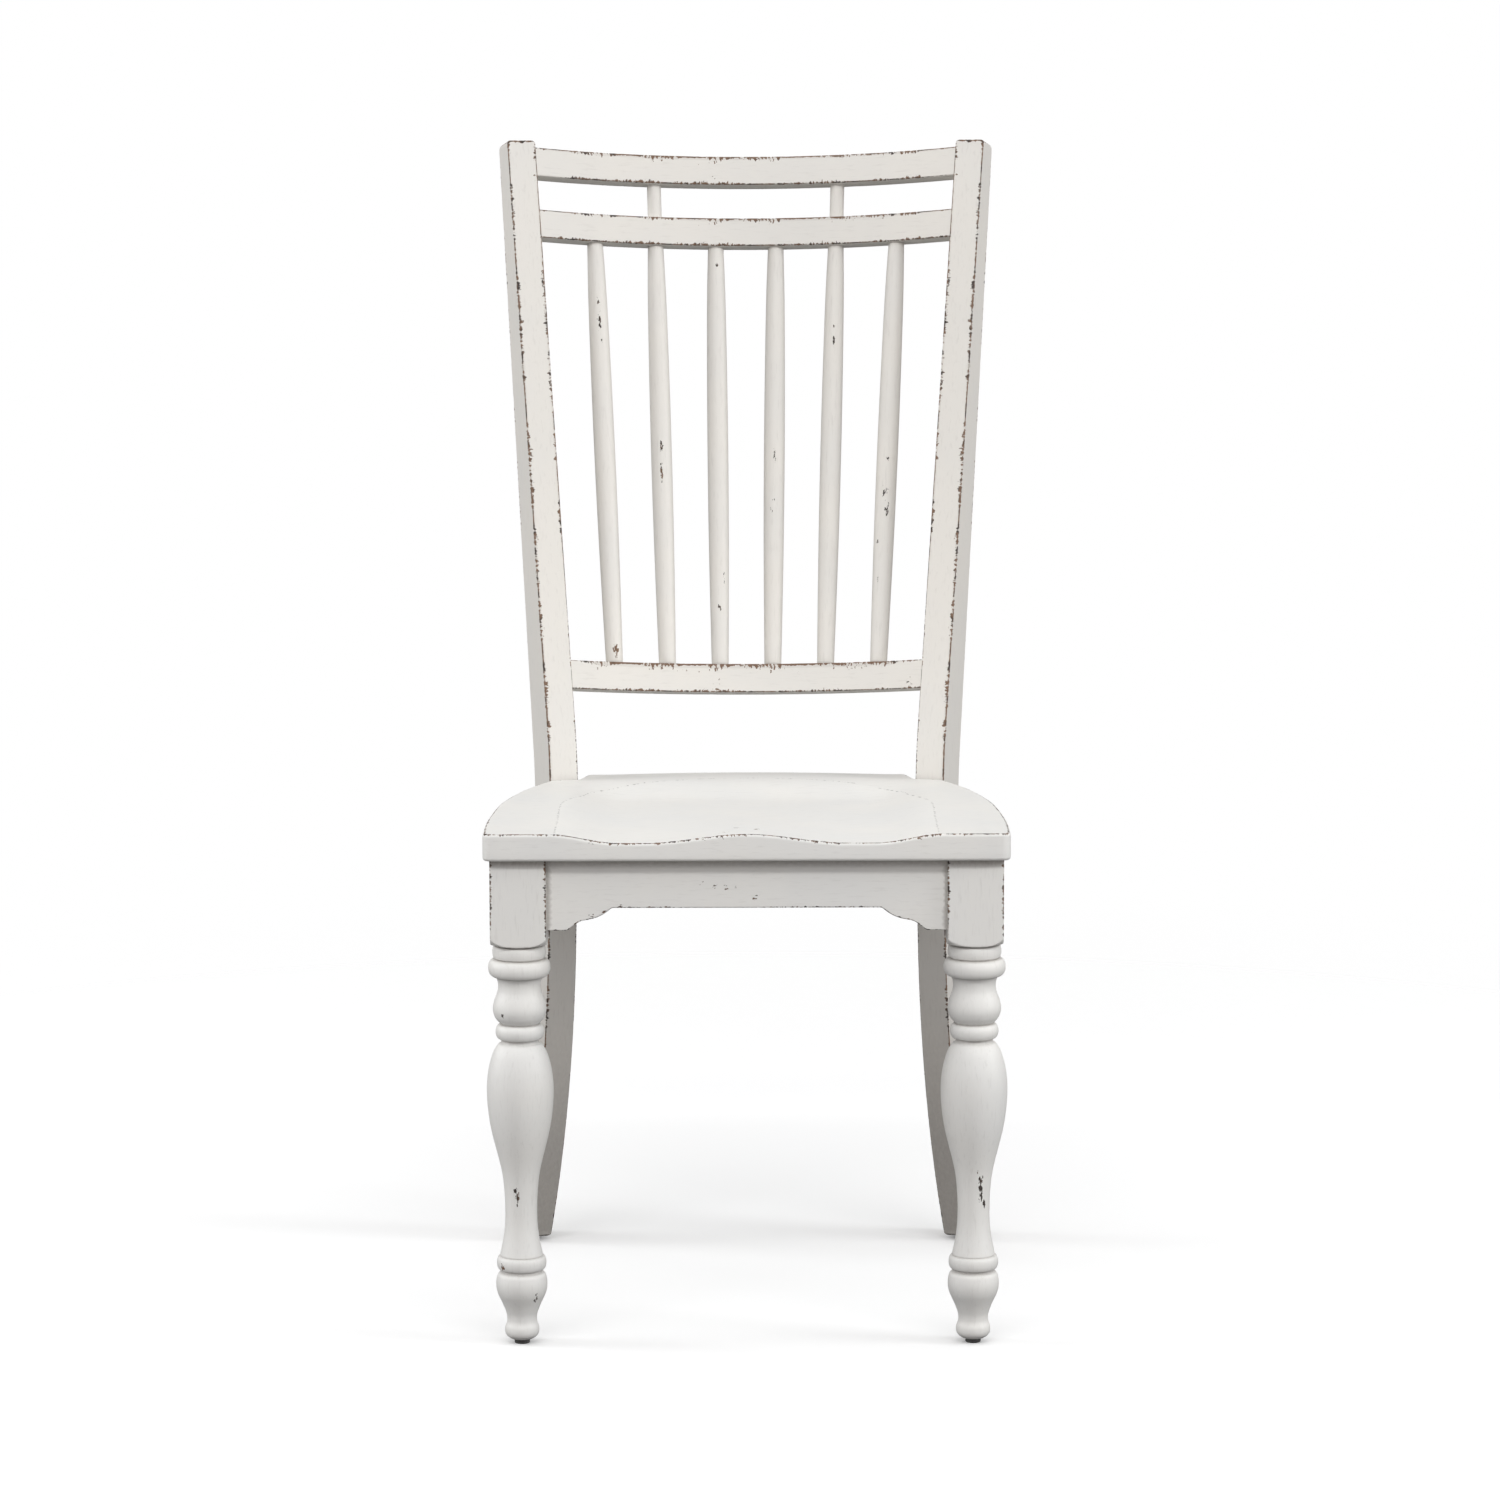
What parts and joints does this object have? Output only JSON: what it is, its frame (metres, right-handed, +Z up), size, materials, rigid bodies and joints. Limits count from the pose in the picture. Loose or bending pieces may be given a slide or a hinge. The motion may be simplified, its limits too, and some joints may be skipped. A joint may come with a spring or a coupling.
{
  "type": "spindle back dining chair",
  "caption": "Painted wooden dining chair with a scooped seat, turned front legs, swept rear legs and a raked back of curved rails and slim swelled spindles.",
  "frame": {"origin": "on the floor, below the middle of the chair's overall width and depth", "axes": "+Z up, +Y from the seat's front edge towards the back, +X to the sitter's left, which is the viewer's right from the front"},
  "size_m": [0.4788, 0.594, 1.0707],
  "materials": {
    "white_paint": "matt off-white paint over wood, worn through to brown along the edges",
    "bare_wood": "unfinished sawn wood",
    "steel": "plain steel screws",
    "grey_plastic": "dark grey moulded plastic"
  },
  "bodies": {
    "root": {"seat": "white_paint", "front_leg_left": "white_paint", "front_leg_right": "white_paint", "back_post_left": "white_paint", "back_post_right": "white_paint", "crest_rail": "white_paint", "neck_rail": "white_paint", "lower_back_rail": "white_paint", "spindle_1": "white_paint", "spindle_2": "white_paint", "spindle_3": "white_paint", "spindle_4": "white_paint", "spindle_5": "white_paint", "spindle_6": "white_paint", "apron_front": "white_paint", "apron_rear": "white_paint", "apron_left": "white_paint", "apron_right": "white_paint", "corner_block_front_left": "bare_wood", "corner_block_front_right": "bare_wood", "corner_block_rear_left": "bare_wood", "corner_block_rear_right": "bare_wood", "apron_screw_front_left_1": "steel", "apron_screw_front_left_2": "steel", "apron_screw_front_right_1": "steel", "apron_screw_front_right_2": "steel", "apron_screw_rear_left_1": "steel", "apron_screw_rear_left_2": "steel", "apron_screw_rear_right_1": "steel", "apron_screw_rear_right_2": "steel", "seat_screw_front_left": "steel", "seat_screw_front_right": "steel", "seat_screw_rear_left": "steel", "seat_screw_rear_right": "steel", "glide_front_left": "grey_plastic", "glide_front_right": "grey_plastic", "glide_rear_left": "grey_plastic", "glide_rear_right": "grey_plastic"}
  },
  "joints": []
}
